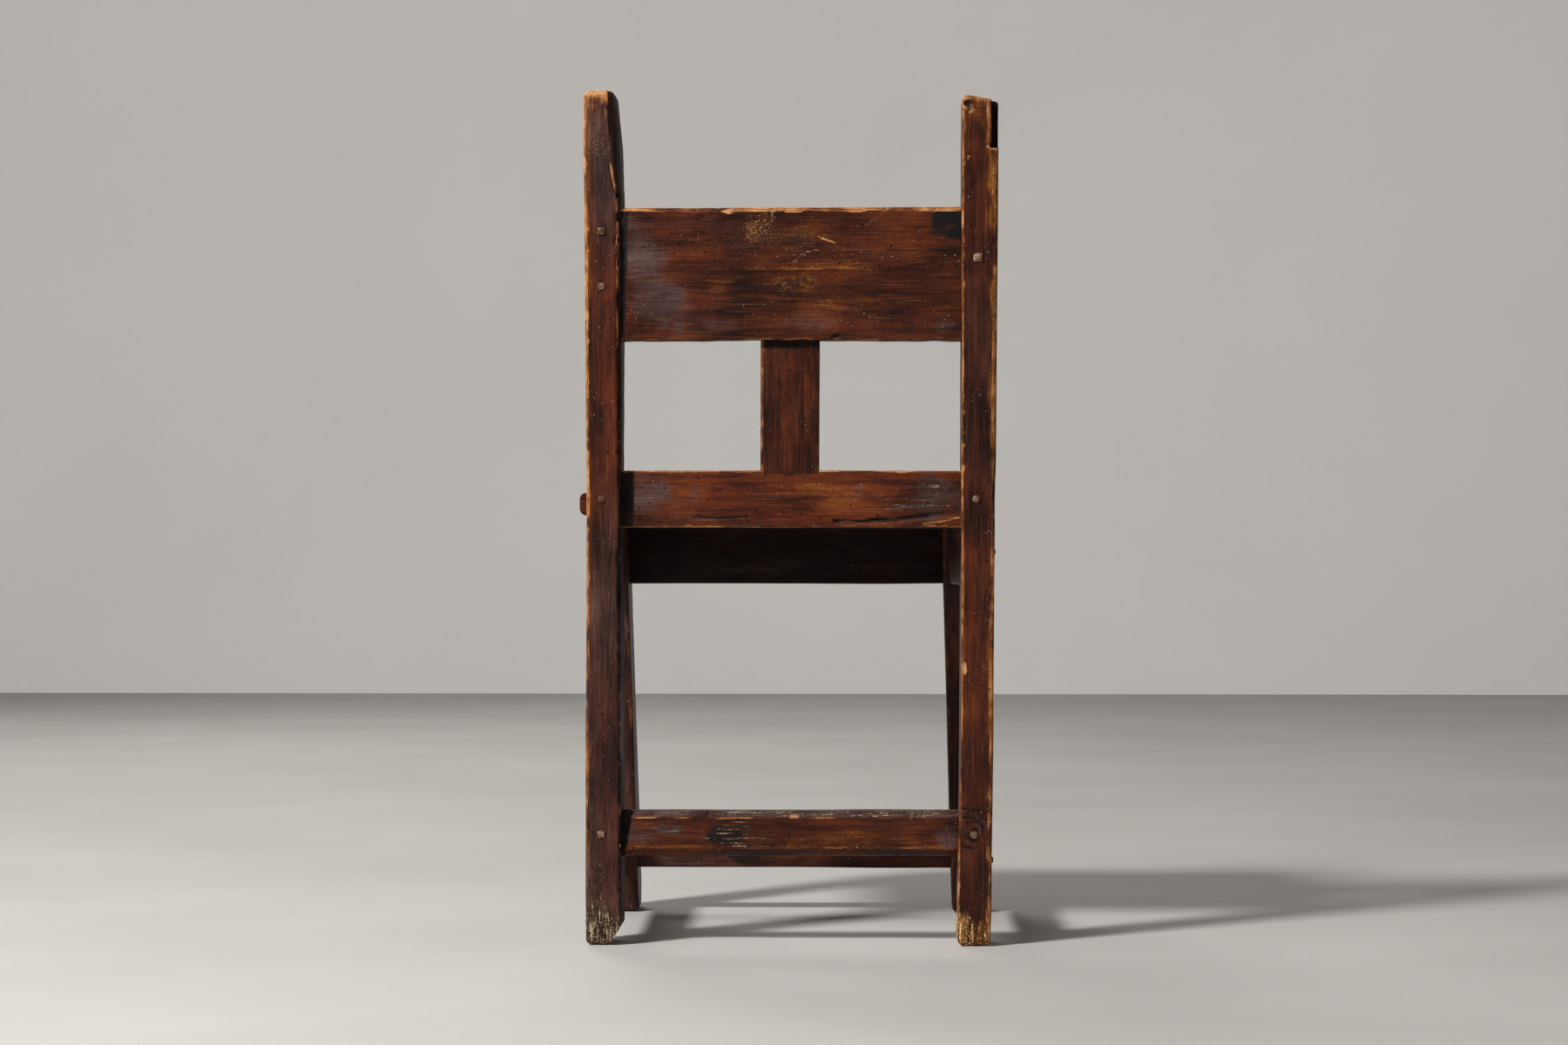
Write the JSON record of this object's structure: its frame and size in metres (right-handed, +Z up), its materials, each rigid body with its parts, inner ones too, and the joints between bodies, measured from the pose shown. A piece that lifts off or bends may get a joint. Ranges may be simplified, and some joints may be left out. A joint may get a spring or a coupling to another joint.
{
  "type": "child's chair",
  "caption": "Low joined wooden chair for a child: raked straight posts with crest board and splat, flat board seat, pegged rails and low stretchers.",
  "frame": {"origin": "on the floor, under the middle of the chair's outer box", "axes": "+X to the right seen from behind, +Y towards the chair's front, +Z up"},
  "size_m": [0.3376, 0.3212, 0.6745],
  "materials": {
    "post_wood": "old wax, worn pale on the arrises",
    "board_wood": "old wax, red-brown, dark burns and golden wear",
    "shaded_wood": "old wax, dull",
    "seat_wood": "rubbed wax, worn by sitting",
    "peg_wood": "end grain, dry",
    "nail_iron": "forged, dark rust"
  },
  "bodies": {
    "root": {"rear_post_left": "post_wood", "rear_post_right": "post_wood", "front_leg_left": "post_wood", "front_leg_right": "post_wood", "crest_rail": "board_wood", "lower_back_rail": "board_wood", "back_splat": "board_wood", "rear_stretcher": "board_wood", "front_apron": "shaded_wood", "front_stretcher": "shaded_wood", "side_rail_left": "shaded_wood", "side_rail_right": "shaded_wood", "side_stretcher_left": "shaded_wood", "side_stretcher_right": "shaded_wood", "seat_board": "seat_wood", "crest_peg_left_upper": "peg_wood", "crest_peg_left_lower": "peg_wood", "crest_peg_right": "peg_wood", "lower_rail_peg_left": "peg_wood", "lower_rail_peg_right": "peg_wood", "rear_stretcher_peg_left": "peg_wood", "rear_stretcher_peg_right": "peg_wood", "apron_peg_left": "peg_wood", "apron_peg_right": "peg_wood", "front_stretcher_peg_left": "peg_wood", "front_stretcher_peg_right": "peg_wood", "side_rail_rear_peg_left": "peg_wood", "side_rail_rear_peg_right": "peg_wood", "side_rail_front_peg_left": "peg_wood", "side_rail_front_peg_right": "peg_wood", "side_stretcher_rear_peg_left": "peg_wood", "side_stretcher_rear_peg_right": "peg_wood", "side_stretcher_front_peg_left": "peg_wood", "side_stretcher_front_peg_right": "peg_wood", "seat_nail_left_rear": "nail_iron", "seat_nail_left_front": "nail_iron", "seat_nail_right_rear": "nail_iron", "seat_nail_right_front": "nail_iron", "apron_nail_left": "nail_iron", "apron_nail_middle": "nail_iron", "apron_nail_right": "nail_iron"}
  },
  "joints": []
}
